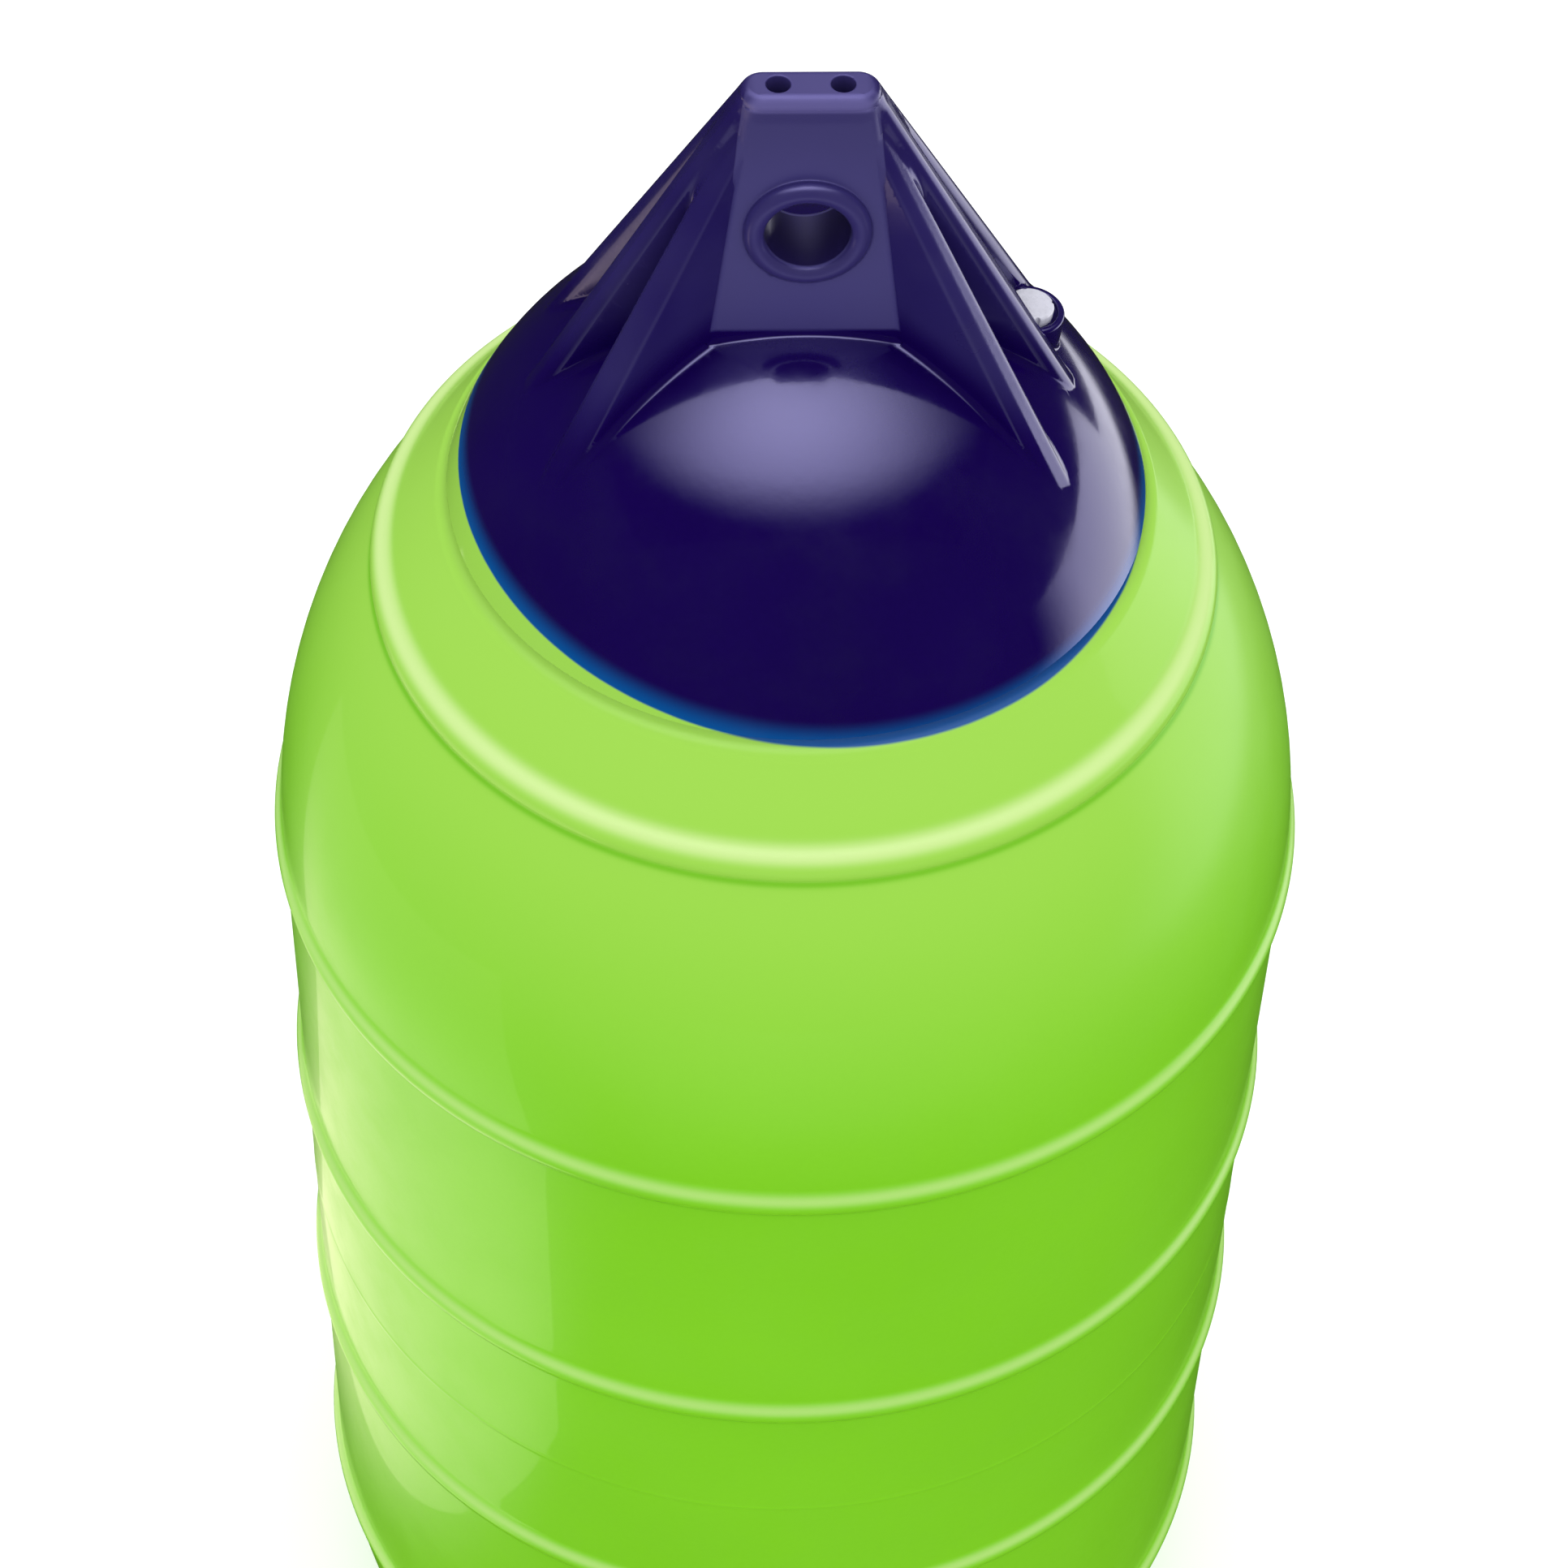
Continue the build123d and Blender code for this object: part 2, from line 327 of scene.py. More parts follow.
def vinyl(name, roughness, specular, specular_tint, coat_weight):
    """Moulded gloss vinyl: navy over green, split at the dip's edge, a little uneven in tone and surface,
    with painted light in its colour: a paler neck, painted highlights on the hoops' crests, painted shade in
    their creases and a painted sheen on the satin faces.
    """
    material = bpy.data.materials.new(name)
    material.use_nodes = True
    tree = material.node_tree
    shader = tree.nodes["Principled BSDF"]
    wire = Wire(tree)
    coords = wire.node("ShaderNodeTexCoord", out="Object")

    above = dip_line(wire, coords)
    cloud = noise(wire, coords, 5.0, 3.0)
    speck = noise(wire, coords, 420.0, 2.0)
    tone = ease(wire, cloud * 0.85 + speck * 0.15, 0.3, 0.7)
    green = mix_colour(wire, tone, GREEN_DEEP, GREEN)
    _, depth, height = axes(wire, coords)
    depth = abs(depth)
    toward_neck = ease(wire, height, barrel_high_z * MM, seam_z * MM)
    # painted light: the green turns paler up towards the neck, where the wall faces up
    green = mix_colour(wire, toward_neck, green, LIT_NECK_GREEN)
    over_hoop = wire.node(
        "ShaderNodeMath", {"operation": "WRAP"},
        {0: height - tail_hoop_z * MM, 1: HOOP_PITCH / 2 * MM, 2: -HOOP_PITCH / 2 * MM},
    )
    # painted shade: a darker line in the crease under each hoop
    crease = bell(wire, over_hoop, CREASE_PLACE, CREASE_WIDTH) * 0.8
    green = mix_colour(wire, crease, green, CREASE_SHADE_GREEN)
    # painted highlight: a pale band along the upper side of each hoop
    crest_highlight = bell(wire, over_hoop, CREST_PLACE, CREST_WIDTH) * (toward_neck * 0.4 + 0.5)
    green = mix_colour(wire, crest_highlight, green, CREST_HIGHLIGHT_GREEN)

    navy = mix_colour(wire, tone, NAVY_DEEP, NAVY)
    # painted sheen: where the vinyl is satin its navy is painted paler; the same mask also roughens it
    satin_sheen, in_eye = satin_and_sheen(wire, coords)
    worn = satin_sheen.highest(in_eye * 0.8)
    # painted shade: the satin faces turn darker up towards the head, as under its lip
    sheen_colour = mix_colour(wire, ease(wire, height, eye_z * MM, head_foot_z * MM), SHEEN_NAVY, SATIN_SHADE)
    # painted sheen on the head, paler towards its front and back as a painted highlight
    head_sheen = mix_colour(wire, ease(wire, depth, 0.0055, 0.0078), HEAD_SHEEN_NAVY, HEAD_FRONT_HIGHLIGHT)
    sheen_colour = mix_colour(wire, ease(wire, height, head_foot_z * MM, (head_foot_z + 2) * MM), sheen_colour, head_sheen)
    navy = mix_colour(wire, satin_sheen, navy, sheen_colour)
    dipped = mix_colour(wire, ease(wire, above, 0.0, 0.009), EDGE_BLUE, navy)
    colour = mix_colour(wire, ease(wire, above, -0.0004, 0.0006), green, dipped)
    tree.links.new(colour.socket, shader.inputs["Base Color"])

    rub = noise(wire, coords, 38.0, 5.0, 0.6)
    rough = ease(wire, rub, 0.35, 0.75, roughness, roughness + 0.08) + worn * 0.35
    tree.links.new(rough.socket, shader.inputs["Roughness"])

    wave = noise(wire, coords, 9.0, 1.0)
    peel = noise(wire, coords, 260.0, 2.0)
    swell = wire.node("ShaderNodeBump", None, {"Strength": 0.22, "Distance": 0.004, "Height": wave})
    skin = wire.node(
        "ShaderNodeBump", None, {"Strength": 0.05, "Distance": 0.0004, "Height": peel, "Normal": swell}
    )
    tree.links.new(skin.socket, shader.inputs["Normal"])
    shader.inputs["Specular IOR Level"].default_value = specular
    shader.inputs["Specular Tint"].default_value = specular_tint
    coat = (1 - worn * 0.9) * coat_weight
    tree.links.new(coat.socket, shader.inputs["Coat Weight"])
    shader.inputs["Coat Roughness"].default_value = 0.04
    return material


def plug_plastic():
    """White moulded plastic of the valve's plug."""
    material = bpy.data.materials.new("white plug")
    material.use_nodes = True
    tree = material.node_tree
    shader = tree.nodes["Principled BSDF"]
    wire = Wire(tree)
    coords = wire.node("ShaderNodeTexCoord", out="Object")
    grime = ease(wire, noise(wire, coords, 300.0, 4.0), 0.45, 0.8)
    colour = mix_colour(wire, grime, PLUG_WHITE, PLUG_GRIME)
    tree.links.new(colour.socket, shader.inputs["Base Color"])
    rough = ease(wire, noise(wire, coords, 700.0, 3.0), 0.3, 0.7, 0.24, 0.38)
    tree.links.new(rough.socket, shader.inputs["Roughness"])
    grain = noise(wire, coords, 1500.0, 2.0)
    bump = wire.node("ShaderNodeBump", None, {"Strength": 0.08, "Distance": 0.0002, "Height": grain})
    tree.links.new(bump.socket, shader.inputs["Normal"])
    return material


green_vinyl = vinyl("green vinyl", 0.3, 0.1, (1, 1, 1, 1), 0.15)
navy_vinyl = vinyl("navy vinyl", 0.1, 1.0, (0.56, 0.53, 1, 1), 0.2)
white_plug = plug_plastic()


# Skin: a profile by travel along its wall, turned round the axis by a node tree

def hoop_rise(along):
    """How far a hoop stands out of the wall, by distance from its middle: sharp below, hollow above."""
    bead = (HOOP_HALF_WIDTH**2 + HOOP_PROUD**2) / (2 * HOOP_PROUD)
    bead_centre = HOOP_PROUD - bead
    blend_end = math.sqrt((bead + HOOP_BLEND) ** 2 - (HOOP_BLEND - bead_centre) ** 2)
    meet = blend_end * bead / (bead + HOOP_BLEND)
    if along <= meet:
        rise = bead_centre + math.sqrt(max(bead**2 - along**2, 0))
        return (rise + math.sqrt(rise**2 + HOOP_CREASE**2)) / 2
    if along < blend_end:
        return HOOP_BLEND - math.sqrt(HOOP_BLEND**2 - (along - blend_end) ** 2)
    return 0.0


tail_travel = tail_radius * (math.pi / 2 - neck_lean)
arc_travel = SHOULDER_RADIUS * neck_lean
barrel_travel = (BARREL_HOOPS - 1) * HOOP_PITCH
neck_travel = NECK_RISE / math.cos(neck_lean)
barrel_start = tail_travel + arc_travel
shoulder_start = barrel_start + barrel_travel
neck_start = shoulder_start + arc_travel
wall_end = neck_start + neck_travel
hoop_places = [tail_travel, neck_start]
hoop_places += [barrel_start + step * HOOP_PITCH for step in range(BARREL_HOOPS)]
parting_place = barrel_start + barrel_travel / 2


def wall(travel):
    """Radius, height and outward lean of the plain wall, by travel along it from the tail's middle."""
    arc_foot = BARREL_RADIUS - SHOULDER_RADIUS
    if travel < tail_travel:
        lean = travel / tail_radius - math.pi / 2
        return tail_radius * math.cos(lean), tail_radius - DRAFT + tail_radius * math.sin(lean), lean
    if travel < barrel_start:
        lean = (travel - barrel_start) / SHOULDER_RADIUS
        low = barrel_low_z + SHOULDER_RADIUS * math.sin(lean)
        return arc_foot + SHOULDER_RADIUS * math.cos(lean), low, lean
    if travel < shoulder_start:
        return BARREL_RADIUS, barrel_low_z + travel - barrel_start, 0.0
    if travel < neck_start:
        lean = (travel - shoulder_start) / SHOULDER_RADIUS
        high = barrel_high_z + SHOULDER_RADIUS * math.sin(lean)
        return arc_foot + SHOULDER_RADIUS * math.cos(lean), high, lean
    past = travel - neck_start
    return neck_radius - past * math.sin(neck_lean), neck_z + past * math.cos(neck_lean), neck_lean


def skin_profile():
    """The closed wall's section as radius and height: up the outside with its hoops, down the inside."""
    crease = np.linspace(-HOOP_HALF_WIDTH - 1.6, -HOOP_HALF_WIDTH + 1.0, 10)
    bead = np.linspace(-HOOP_HALF_WIDTH + 1.4, 9.6, 18)
    beside_hoop = np.concatenate([crease, bead])
    ridge = np.linspace(-2.4, 2.4, 9)
    places = set(np.linspace(0, wall_end, 110))
    fine = [(place, beside_hoop) for place in hoop_places] + [(parting_place, ridge)]
    for place, offsets in fine:
        low, high = place + offsets[0] - 1.5, place + offsets[-1] + 1.5
        places = {p for p in places if not low < p < high}
    for place, offsets in fine:
        places.update(place + offsets)
    outside = []
    for travel in sorted(places):
        radius, z, lean = wall(travel)
        out = sum(hoop_rise(travel - place) for place in hoop_places if -9 < travel - place < 10)
        out += PARTING_RISE * math.exp(-(((travel - parting_place) / PARTING_WIDTH) ** 2))
        outside.append((max(radius + out * math.cos(lean), 0), z + out * math.sin(lean)))
    inside = []
    for travel in np.linspace(wall_end - SKIN_WALL, 0, 40):
        radius, z, lean = wall(travel)
        inside.append((max(radius - SKIN_WALL * math.cos(lean), 0), z - SKIN_WALL * math.sin(lean)))
    return outside + inside


def lathe_tree():
    """A node tree that turns a profile in the XZ plane round the Z axis."""
    tree = bpy.data.node_groups.new("turn profile", "GeometryNodeTree")
    tree.interface.new_socket(name="Profile", in_out="INPUT", socket_type="NodeSocketGeometry")
    tree.interface.new_socket(name="Segments", in_out="INPUT", socket_type="NodeSocketInt")
    tree.interface.new_socket(name="Vinyl", in_out="INPUT", socket_type="NodeSocketMaterial")
    tree.interface.new_socket(name="Skin", in_out="OUTPUT", socket_type="NodeSocketGeometry")
    wire = Wire(tree)
    profile = wire.node("NodeGroupInput")
    given = profile.socket.node
    segments = Wire(tree, given.outputs["Segments"])
    count = wire.node("GeometryNodeAttributeDomainSize", {"component": "MESH"}, {0: profile})
    columns = segments + 1
    grid = wire.node("GeometryNodeMeshGrid", None, {"Vertices X": count, "Vertices Y": columns})
    index = wire.node("GeometryNodeInputIndex")
    row = wire.node("ShaderNodeMath", {"operation": "FLOOR"}, {0: index / columns})
    angle = (index - row * columns) * (2 * math.pi) / segments
    place = wire.node("GeometryNodeInputPosition")
    settings = {"data_type": "FLOAT_VECTOR", "domain": "POINT"}
    values = {"Geometry": profile, "Value": place, "Index": row}
    point = wire.node("GeometryNodeSampleIndex", settings, values)
    radius, _, z = axes(wire, point)
    cosine = wire.node("ShaderNodeMath", {"operation": "COSINE"}, {0: angle})
    sine = wire.node("ShaderNodeMath", {"operation": "SINE"}, {0: angle})
    spot = wire.node("ShaderNodeCombineXYZ", None, {"X": radius * cosine, "Y": radius * sine, "Z": z})
    turned = wire.node("GeometryNodeSetPosition", None, {"Geometry": grid, "Position": spot})
    closed = wire.node("GeometryNodeMergeByDistance", None, {"Geometry": turned, "Distance": 1e-6})
    outward = wire.node("GeometryNodeFlipFaces", None, {"Mesh": closed})
    smooth = wire.node("GeometryNodeSetShadeSmooth", None, {"Geometry": outward})
    real = wire.node("GeometryNodeRealizeInstances", None, {"Geometry": smooth})
    vinyl_in = Wire(tree, given.outputs["Vinyl"])
    done = wire.node("GeometryNodeSetMaterial", None, {"Geometry": real, "Material": vinyl_in})
    wire.node("NodeGroupOutput", None, {"Skin": done})
    return tree


def make_skin():
    section = skin_profile()
    line = bpy.data.meshes.new("skin section")
    points = [(radius * MM, 0, z * MM) for radius, z in section]
    line.from_pydata(points, [(i, i + 1) for i in range(len(points) - 1)], [])
    carrier = link_object("skin section", line)
    modifier = carrier.modifiers.new("turn", "NODES")
    tree = lathe_tree()
    modifier.node_group = tree
    given = {"Segments": LATHE_SEGMENTS, "Vinyl": green_vinyl}
    for item in tree.interface.items_tree:
        if item.name in given:
            modifier[item.identifier] = given[item.name]
    carrier.update_tag()
    evaluated = carrier.evaluated_get(bpy.context.evaluated_depsgraph_get())
    mesh = bpy.data.meshes.new_from_object(evaluated)
    mesh.name = "hooped_skin"
    carrier.modifiers.clear()
    bpy.data.objects.remove(carrier)
    return link_object("hooped_skin", mesh)


# Moulded pieces. A solid is four rows for a set of points: the distance to its surface, negative
# inside, and the three parts of the direction in which that distance grows.

def round_edge(first, second, radius):
    """The rounded edge of two faces at right angles, and the share of each face in its direction."""
    over_first, over_second = first + radius, second + radius
    out_first, out_second = np.maximum(over_first, 0), np.maximum(over_second, 0)
    reach = np.hypot(out_first, out_second)
    distance = reach + np.minimum(np.maximum(over_first, over_second), 0) - radius
    safe = np.maximum(reach, 1e-9)
    on_edge = reach > 1e-9
    share_first = np.where(on_edge, out_first / safe, over_first >= over_second)
    share_second = np.where(on_edge, out_second / safe, over_first < over_second)
    return distance, share_first, share_second


def join(first, second, fillet):
    """Two solids as one, with a fillet in the corner that shrinks where their surfaces run level."""
    level = (first[1:] * second[1:]).sum(axis=0)
    radius = fillet * np.clip(1 - level, 0.03, 1)
    near_first = np.maximum(radius - first[0], 0)
    near_second = np.maximum(radius - second[0], 0)
    distance = np.maximum(radius, np.minimum(first[0], second[0])) - np.hypot(near_first, near_second)
    both = (near_first > 0) & (near_second > 0)
    weight = np.where(both, near_first / np.maximum(near_first + near_second, 1e-9), first[0] < second[0])
    direction = first[1:] * weight + second[1:] * (1 - weight)
    direction /= np.maximum(np.linalg.norm(direction, axis=0), 1e-9)
    return np.vstack([distance[None], direction])


def cut(distance, tool, rim):
    """A solid with a tool's shape cut away, the cut's rim rounded."""
    near = np.maximum(rim + distance, 0)
    near_tool = np.maximum(rim - tool, 0)
    return np.minimum(-rim, np.maximum(distance, -tool)) + np.hypot(near, near_tool)


def cap_solid(x, y, z):
    reach = np.sqrt(x * x + y * y + (z - cap_z) ** 2)
    return np.stack([reach - cap_radius, x / reach, y / reach, (z - cap_z) / reach])


def block_solid(x, y, z):
    """The drafted block between the two flat faces."""
    width_draft = math.atan2((FACE_FOOT_WIDTH - FACE_HEAD_WIDTH) / 2, face_rise)
    depth_draft = math.atan2((FACE_FOOT_DEPTH - FACE_HEAD_DEPTH) / 2, face_rise)
    up = z - crown_z
    end = (np.abs(x) - FACE_FOOT_WIDTH / 2 + up * math.tan(width_draft)) * math.cos(width_draft)
    face = (np.abs(y) - FACE_FOOT_DEPTH / 2 + up * math.tan(depth_draft)) * math.cos(depth_draft)
    corner = BLOCK_FOOT_ROUND + (BLOCK_HEAD_ROUND - BLOCK_FOOT_ROUND) * np.clip(up / face_rise, 0, 1) ** 2
    distance, on_end, on_face = round_edge(end, face, corner)
    rise = on_end * math.sin(width_draft) + on_face * math.sin(depth_draft)
    across = on_end * math.cos(width_draft) * np.sign(x)
    along = on_face * math.cos(depth_draft) * np.sign(y)
    return np.stack([np.maximum(distance, z - head_foot_z - 1), across, along, rise])


def head_solid(x, y, z):
    """The rounded bar across the top of the block."""
    up = z - head_foot_z - HEAD_HEIGHT / 2
    plan, on_end, on_side = round_edge(np.abs(x) - HEAD_LENGTH / 2, np.abs(y) - HEAD_DEPTH / 2, HEAD_CORNER)
    distance, on_plan, on_top = round_edge(plan, np.abs(up) - HEAD_HEIGHT / 2, HEAD_ROUND)
    across = on_plan * on_end * np.sign(x)
    along = on_plan * on_side * np.sign(y)
    return np.stack([distance, across, along, on_top * np.sign(up)])


def collar_solid(x, y, z):
    """The rounded rims of the eye, square to it."""
    off = np.abs(y) - (FACE_FOOT_DEPTH - (FACE_FOOT_DEPTH - FACE_HEAD_DEPTH) * EYE_RISE / face_rise) / 2
    up = z - eye_z
    ring = np.maximum(np.hypot(x, up), 1e-6)
    past = ring - EYE_RADIUS - COLLAR_ROUND + COLLAR_TRIM
    reach = np.maximum(np.hypot(past, off), 1e-6)
    in_plane = past / reach / ring
    return np.stack([reach - COLLAR_ROUND, in_plane * x, off / reach * np.sign(y), in_plane * up])


def on_cap(radius, azimuth):
    """A point on the outside of the cap."""
    turn = math.radians(azimuth)
    z = cap_z + math.sqrt(cap_radius**2 - radius**2)
    return Vector((radius * math.sin(turn), -radius * math.cos(turn), z))


def fin_solid(x, y, z, root_x, root_y, root_drop, azimuth, setback):
    """A fin on each side: its edge falls from the head to the cap and widens on the way."""
    leaves_head = Vector((root_x, root_y, head_top_z - root_drop))
    tip_radius = seam_radius - setback
    tip = on_cap(tip_radius, azimuth)
    run = (tip - leaves_head).normalized()
    across = Vector((0, 0, 1)).cross(run).normalized()
    out = run.cross(across)
    start = leaves_head - run * FIN_ROOT_SINK
    length = (tip - start).length + FIN_TIP_WIDTH
    rel = (np.abs(x) - start.x, y - start.y, z - start.z)
    along, aside, above = (sum(part * axis[i] for i, part in enumerate(rel)) for axis in (run, across, out))
    share = np.clip(along / length, 0, 1.1)
    half_width = (FIN_HEAD_WIDTH + (FIN_TIP_WIDTH - FIN_HEAD_WIDTH) * share) / 2
    corner = FIN_HEAD_ROUND + (FIN_TIP_ROUND - FIN_HEAD_ROUND) * share
    depth = FIN_ROOT_DEPTH + (tip_radius - FIN_ROOT_DEPTH) * share
    distance, on_side, on_edge = round_edge(np.abs(aside) - half_width, above, corner)
    distance = np.maximum(distance, np.maximum(-above - depth, np.maximum(-along, along - length)))
    side = on_side * np.sign(aside)
    direction = [side * across[i] + on_edge * out[i] for i in range(3)]
    return np.stack([distance, direction[0] * np.sign(x), direction[1], direction[2]])


valve_spot = on_cap(seam_radius - VALVE_SETBACK, VALVE_AZIMUTH)
valve_heading = Matrix.Rotation(math.radians(VALVE_AZIMUTH - 90), 3, "Z")
valve_turn = valve_heading @ Matrix.Rotation(math.radians(VALVE_TILT), 3, "Y")
valve_out, valve_side, valve_axis = valve_turn.col


def about_valve(x, y, z):
    """Height along the valve's axis, distance from it, and the direction away from it."""
    rel = (x - valve_spot.x, y - valve_spot.y, z - valve_spot.z)
    height = sum(part * valve_axis[i] for i, part in enumerate(rel))
    away = [part - height * valve_axis[i] for i, part in enumerate(rel)]
    ring = np.maximum(np.sqrt(sum(part * part for part in away)), 1e-6)
    return height, ring, [part / ring for part in away]


def boss_solid(x, y, z):
    height, ring, away = about_valve(x, y, z)
    distance, on_side, on_top = round_edge(ring - BOSS_RADIUS, height - BOSS_RISE, BOSS_ROUND)
    return np.stack([distance] + [on_side * away[i] + on_top * valve_axis[i] for i in range(3)])


def ropehold_distance(x, y, z):
    """Distance to the whole ropehold, filled in under its cap."""
    hold = join(cap_solid(x, y, z), block_solid(x, y, z), FACE_FILLET)
    for row in FIN_ROWS:
        hold = join(hold, fin_solid(x, y, z, *row), FIN_FILLET)
    hold = join(hold, head_solid(x, y, z), HEAD_FILLET)
    hold = join(hold, collar_solid(x, y, z), COLLAR_FILLET)
    hold = join(hold, boss_solid(x, y, z), BOSS_FILLET)[0]
    hold = cut(hold, np.hypot(x, z - eye_z) - EYE_RADIUS, HOLE_RIM)
    pin = np.hypot(np.abs(x) - PIN_HOLE_SPACING / 2, y) - PIN_HOLE_RADIUS
    hold = cut(hold, np.maximum(pin, head_top_z - PIN_HOLE_DEPTH - z), HOLE_RIM)
    height, ring, away = about_valve(x, y, z)
    seat = np.maximum(ring - SEAT_RADIUS, BOSS_RISE - SEAT_DEPTH - height)
    hold = cut(hold, seat, HOLE_RIM)
    return np.maximum(hold, np.maximum(seam_z - CAP_LAP - z, z - head_top_z))


def plug_distance(x, y, z):
    """Distance to the valve's plug: a notched round head on a plain shank."""
    height, ring, away = about_valve(x, y, z)
    seat = BOSS_RISE - SEAT_DEPTH
    face = seat + PLUG_HEAD_HEIGHT
    head = round_edge(ring - PLUG_HEAD_RADIUS, height - face, PLUG_ROUND)[0]
    head = np.maximum(head, seat - height)
    past_ends = np.maximum(seat - PLUG_SHANK_LENGTH - height, height - face + 1)
    shank = np.maximum(ring - PLUG_SHANK_RADIUS, past_ends)
    aside = [ring * np.abs(sum(away[i] * way[i] for i in range(3))) for way in (valve_out, valve_side)]
    notch = np.hypot(np.maximum(*aside) - PLUG_HEAD_RADIUS, np.minimum(*aside)) - PLUG_NOTCH_RADIUS
    return cut(np.minimum(head, shank), notch, NOTCH_RIM)


def slope(distance, points, step=0.02):
    """Direction in which a distance grows at some points, by small steps both ways."""
    parts = []
    for i in range(3):
        shift = np.zeros(3)
        shift[i] = step
        parts.append(distance(*(points + shift).T) - distance(*(points - shift).T))
    return np.stack(parts, axis=1) / (2 * step)


BLOCK = 4                  # voxels along a block of the first, coarse look for the surface
BEND = 10.0                # degrees between the surface's directions at the ends of an edge that is split
SHORT_EDGE = 0.5
HOLD_VOXEL = 1.15
PLUG_VOXEL = 0.3
FLAT_MERGE = 0.002
BOX_MARGIN = 3.0


def settle(distance, points, reach):
    """Points moved onto the surface where a distance is zero, and the surface's direction at each."""
    for _ in range(3):
        grow = slope(distance, points)
        off = distance(*points.T) / np.maximum((grow**2).sum(axis=1), 0.2)
        points = points - np.clip(off, -reach, reach)[:, None] * grow
    grow = slope(distance, points)
    return points, grow / np.maximum(np.linalg.norm(grow, axis=1), 1e-6)[:, None]


def field_faces(distance, low, high, voxel, merge):
    """A rough closed surface of a distance, as points and faces."""
    blocks = np.ceil((high - low) / (voxel * BLOCK)).astype(int)
    axes = [low[i] + voxel * (BLOCK * np.arange(blocks[i]) + (BLOCK - 1) / 2) for i in range(3)]
    coarse = distance(*(part.ravel() for part in np.meshgrid(*axes, indexing="ij"))).reshape(blocks)
    near = np.abs(coarse) < voxel * (0.87 * BLOCK + 1.5)
    far = 3 * voxel
    values = np.where(coarse < 0, -far, far).astype(np.float32)
    for i in range(3):
        values = values.repeat(BLOCK, axis=i)
        near = near.repeat(BLOCK, axis=i)
    where = np.nonzero(near)
    for part in np.array_split(np.arange(len(where[0])), 12):
        spots = [low[i] + voxel * where[i][part] for i in range(3)]
        values[tuple(w[part] for w in where)] = np.clip(distance(*spots), -far, far)
    grid = openvdb.FloatGrid(far)
    grid.copyFromArray(values)
    points, triangles, quads = grid.convertToPolygons(isovalue=0.0, adaptivity=merge)
    return low + voxel * points.astype(float), triangles.tolist() + quads.tolist()


def moulded_mesh(name, distance, low, high, voxel, merge, splits):
    """A closed mesh with its points exactly on the surface of a distance, finer where the surface bends."""
    points, faces = field_faces(distance, np.array(low, float), np.array(high, float), voxel, merge)
    mesh = bpy.data.meshes.new(name)
    mesh.from_pydata(points.tolist(), [], faces)
    shape = bmesh.new()
    shape.from_mesh(mesh)
    for step in range(splits + 1):
        points, grow = settle(distance, np.array([spot.co for spot in shape.verts]), voxel)
        for spot, place in zip(shape.verts, points.tolist()):
            spot.co = place
        if step < splits:
            edges = list(shape.edges)
            ends = np.array([(edge.verts[0].index, edge.verts[1].index) for edge in edges])
            bend = (grow[ends[:, 0]] * grow[ends[:, 1]]).sum(axis=1) < math.cos(math.radians(BEND))
            long = np.linalg.norm(points[ends[:, 0]] - points[ends[:, 1]], axis=1) > SHORT_EDGE
            bent = [edges[i] for i in np.nonzero(bend & long)[0]]
            bmesh.ops.subdivide_edges(shape, edges=bent, cuts=1)
            bmesh.ops.triangulate(shape, faces=[face for face in shape.faces if len(face.verts) > 4])
            shape.verts.index_update()
    shape.to_mesh(mesh)
    corners = [face.vertices for face in mesh.polygons]
    first = np.array([tuple(corner)[:3] for corner in corners])
    normal = np.cross(points[first[:, 1]] - points[first[:, 0]], points[first[:, 2]] - points[first[:, 0]])
    if (normal * grow[first[:, 0]]).sum() < 0:
        bmesh.ops.reverse_faces(shape, faces=shape.faces)
        shape.to_mesh(mesh)
    shape.free()
    mesh.transform(Matrix.Scale(MM, 4))
    mesh.shade_smooth()
    mesh.normals_split_custom_set_from_vertices(grow.tolist())
    return link_object(name, mesh)


skin = make_skin()

hold_reach = seam_radius + BOX_MARGIN
hold_low = (-hold_reach, -hold_reach, seam_z - CAP_LAP - BOX_MARGIN)
hold_high = (hold_reach, hold_reach, head_top_z + BOX_MARGIN)
ropehold = moulded_mesh("moulded_ropehold", ropehold_distance, hold_low, hold_high, HOLD_VOXEL, FLAT_MERGE, 2)
ropehold.data.materials.append(navy_vinyl)

plug_middle = np.array(valve_spot) - 3.2 * np.array(valve_axis)
plug_low, plug_high = plug_middle - 16, plug_middle + 16
plug = moulded_mesh("notched_plug", plug_distance, plug_low, plug_high, PLUG_VOXEL, FLAT_MERGE, 1)
plug.data.materials.append(white_plug)

for piece, node, slot in (
    (skin, "skin", "green_vinyl"),
    (ropehold, "ropehold", "navy_vinyl"),
    (plug, "valve_plug", "white_plug"),
):
    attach(piece, "root")
    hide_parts(node)


# Stage: a pale floor at the waterline, soft studio light

FLOOR_REACH = 14.0


def empty_tree(owner):
    """A wire in the emptied node tree of a material or world."""
    owner.use_nodes = True
    owner.node_tree.nodes.clear()
    return Wire(owner.node_tree)


def light_path(wire, *names):
    """The named outputs of a Light Path node."""
    outputs = wire.node("ShaderNodeLightPath").socket.node.outputs
    return [Wire(wire.tree, outputs[name]) for name in names]


def flat_corners(x0, x1, y0, y1, z):
    return [(x0, y0, z), (x1, y0, z), (x1, y1, z), (x0, y1, z)]


def one_face(name, corners, material):
    """A stage piece of one face."""
    mesh = bpy.data.meshes.new(name)
    mesh.from_pydata(corners, [], [tuple(range(len(corners)))])
    mesh.materials.append(material)
    made = link_object(name, mesh)
    return made


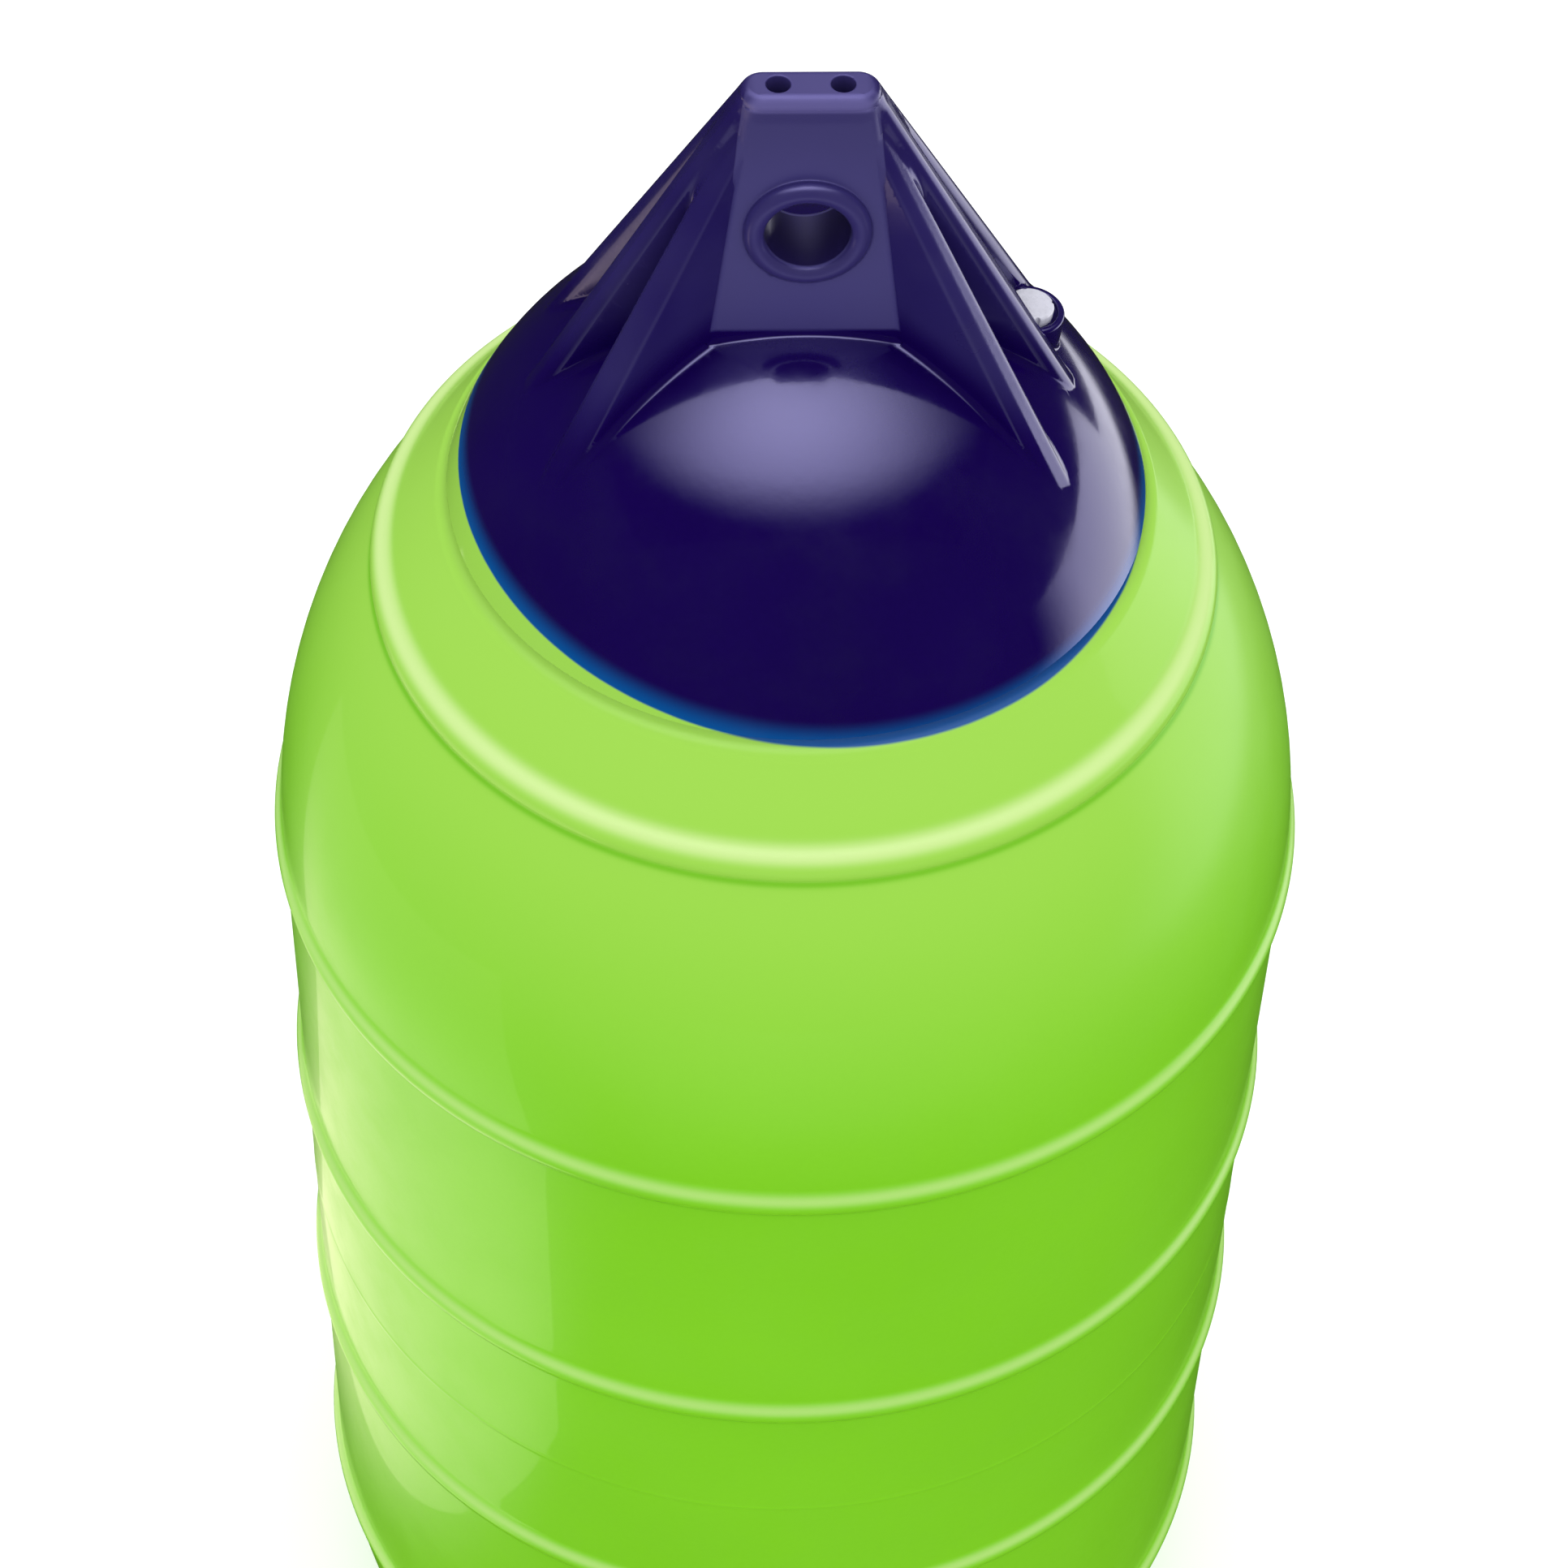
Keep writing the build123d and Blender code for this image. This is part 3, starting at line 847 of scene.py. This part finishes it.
def make_floor():
    """A pale floor, near white for the camera and dull in reflections."""
    material = bpy.data.materials.new("pale floor")
    wire = empty_tree(material)
    camera_ray, glossy_ray = light_path(wire, "Is Camera Ray", "Is Glossy Ray")
    dull = wire.node("ShaderNodeBsdfDiffuse", None, {"Color": (0.015, 0.015, 0.015, 1)})
    pale = wire.node("ShaderNodeBsdfDiffuse", None, {"Color": (0.82, 0.82, 0.82, 1)})
    glow = wire.node("ShaderNodeEmission", None, {"Color": (1, 1, 1, 1), "Strength": camera_ray * 0.3})
    seen = wire.node("ShaderNodeAddShader", None, {0: pale, 1: glow})
    surface = wire.node("ShaderNodeMixShader", None, {0: glossy_ray, 1: seen, 2: dull})
    wire.node("ShaderNodeOutputMaterial", None, {"Surface": surface})
    one_face("floor", flat_corners(-FLOOR_REACH, FLOOR_REACH, -FLOOR_REACH, FLOOR_REACH, 0), material)


def make_world():
    """White behind the object for the camera, dim for reflections, a soft fill for the rest."""
    world = bpy.data.worlds.new("studio")
    bpy.context.scene.world = world
    wire = empty_tree(world)
    names = ("Is Camera Ray", "Is Diffuse Ray", "Is Transmission Ray", "Is Glossy Ray")
    camera_ray, diffuse_ray, through_ray, glossy_ray = light_path(wire, *names)
    _, _, upward = axes(wire, wire.node("ShaderNodeTexCoord", out="Generated"))
    fill = upward.highest(0) * 0.3 + 1.05
    level = camera_ray + through_ray + glossy_ray * 0.02 + diffuse_ray * fill
    sky = wire.node("ShaderNodeBackground", None, {"Color": (1, 1, 1, 1), "Strength": level})
    wire.node("ShaderNodeOutputWorld", None, {"Surface": sky})


def light_card(name, corners, level, colour=(1, 1, 1, 1)):
    """A glowing card that only reflections see. Its level is a sum on the place on the card."""
    material = bpy.data.materials.new(name)
    wire = empty_tree(material)
    x, y, _ = axes(wire, wire.node("ShaderNodeTexCoord", out="Object"))
    glow = wire.node("ShaderNodeEmission", None, {"Color": colour, "Strength": level(wire, x, y)})
    wire.node("ShaderNodeOutputMaterial", None, {"Surface": glow})
    card = one_face(name, corners, material)
    card.visible_camera = False
    card.visible_shadow = False
    card.visible_diffuse = False


def overhead_level(wire, x, y):
    front_edge = ease(wire, y - x * x * 0.3, -1.15, -0.45)
    return bell(wire, x, -0.05, 1.15) * front_edge * bell(wire, y, 0.05, 0.95) * 4.3


def right_level(wire, x, y):
    return ease(wire, x, 1.1, 1.6) * ease(wire, y, -1.1, 0.2) * 2.4


def left_level(wire, x, y):
    return ease(wire, x, -1.2, -0.3, 1.1, 2.5)


def front_level(wire, x, y):
    return ease(wire, y, -1.1, -0.8, 0.5, 0.0) * bell(wire, x, 0.0, 1.0)


make_floor()
make_world()
light_card("overhead card", flat_corners(-2.4, 2.4, -1.2, 1.5, 2.4), overhead_level)
light_card("right card", flat_corners(1.1, 3.2, -1.2, 2.4, 0.004), right_level)
wall_corners = [(3.2, -1.2, 0.0), (3.2, 2.4, 0.0), (3.2, 2.4, 0.84), (3.2, -1.2, 0.84)]
light_card("right wall", wall_corners, right_level)
left_corners = [(-0.27, -0.29, 0.004), (-1.5, -0.95, 0.004), (-1.5, 0.75, 0.004), (-0.27, 0.16, 0.004)]
light_card("left card", left_corners, left_level, (1.0, 0.82, 0.66, 1))
light_card("front card", flat_corners(-1.4, 1.4, -2.8, -0.8, 0.003), front_level)


# Camera, fitted to the hoops in the photograph
PHOTO_SIZE = 1932
FOCAL_PIXELS = 5524.8
CAMERA_BACK = 1.15026
CAMERA_UP = 1.90201
CAMERA_YAW = -0.0007
CAMERA_PITCH = 0.8708
CAMERA_ROLL = 0.0350
OBJECT_TURN = math.radians(-3.5)

forward = Vector((
    math.sin(CAMERA_YAW) * math.cos(CAMERA_PITCH),
    math.cos(CAMERA_YAW) * math.cos(CAMERA_PITCH),
    -math.sin(CAMERA_PITCH),
))
level_right = Vector((math.cos(CAMERA_YAW), -math.sin(CAMERA_YAW), 0))
level_up = level_right.cross(forward)
right = level_right * math.cos(CAMERA_ROLL) + level_up * math.sin(CAMERA_ROLL)
up = level_up * math.cos(CAMERA_ROLL) - level_right * math.sin(CAMERA_ROLL)
stand = Matrix((right, up, -forward)).transposed().to_4x4()
stand.translation = Vector((0, -CAMERA_BACK, CAMERA_UP))
lens = bpy.data.cameras.new("camera")
lens.sensor_width = 36
lens.lens = FOCAL_PIXELS / PHOTO_SIZE * lens.sensor_width
camera = link_object("camera", lens)
camera.matrix_world = Matrix.Rotation(OBJECT_TURN, 4, "Z") @ stand
bpy.context.scene.camera = camera
bpy.context.scene.view_settings.view_transform = "Standard"

bpy.context.view_layer.update()
